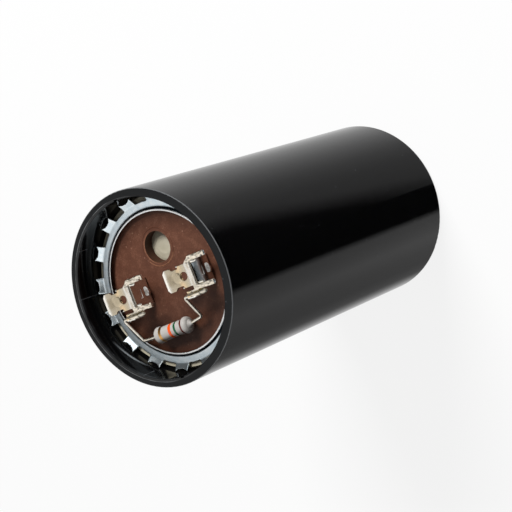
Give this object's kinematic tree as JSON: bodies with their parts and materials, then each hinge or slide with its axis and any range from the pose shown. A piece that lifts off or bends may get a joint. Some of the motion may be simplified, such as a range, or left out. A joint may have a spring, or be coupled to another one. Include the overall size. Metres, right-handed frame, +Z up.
{
  "type": "motor start capacitor",
  "caption": "Round black moulded start capacitor with a toothed retaining ring, brown terminal board, vent hole, tab terminals and a soldered bleed resistor.",
  "frame": {"origin": "centre of the closed base, on the surface it stands on", "axes": "+Z up the case axis towards the terminals; +X along the row of two terminals, from left to right; +Y towards the vent hole"},
  "size_m": [0.0524, 0.0524, 0.1085],
  "materials": {
    "black_moulding": "gloss, matt on the rim face",
    "zinc_steel": "bright zinc plate",
    "cream_moulding": "satin",
    "brown_board": "satin laminate",
    "tinned_metal": "bright tin plate",
    "solder": "bright with flux",
    "resistor_coat": "satin grey with colour bands",
    "foil": "bright",
    "wound_roll": "paper and foil",
    "paper": "fibre paper"
  },
  "bodies": {
    "root": {"case": "black_moulding", "retaining_ring": "zinc_steel", "sealing_cover": "cream_moulding", "vent_diaphragm": "cream_moulding", "terminal_board": "brown_board", "wound_element": "wound_roll", "bottom_pad": "paper", "resistor_body": "resistor_coat", "terminal_left": "tinned_metal", "resistor_lead_left": "tinned_metal", "solder_left": "solder", "rivet_left": "tinned_metal", "rivet_washer_left": "zinc_steel", "lead_tab_left": "foil", "terminal_right": "tinned_metal", "resistor_lead_right": "tinned_metal", "solder_right": "solder", "rivet_right": "tinned_metal", "rivet_washer_right": "zinc_steel", "lead_tab_right": "foil"}
  },
  "joints": []
}
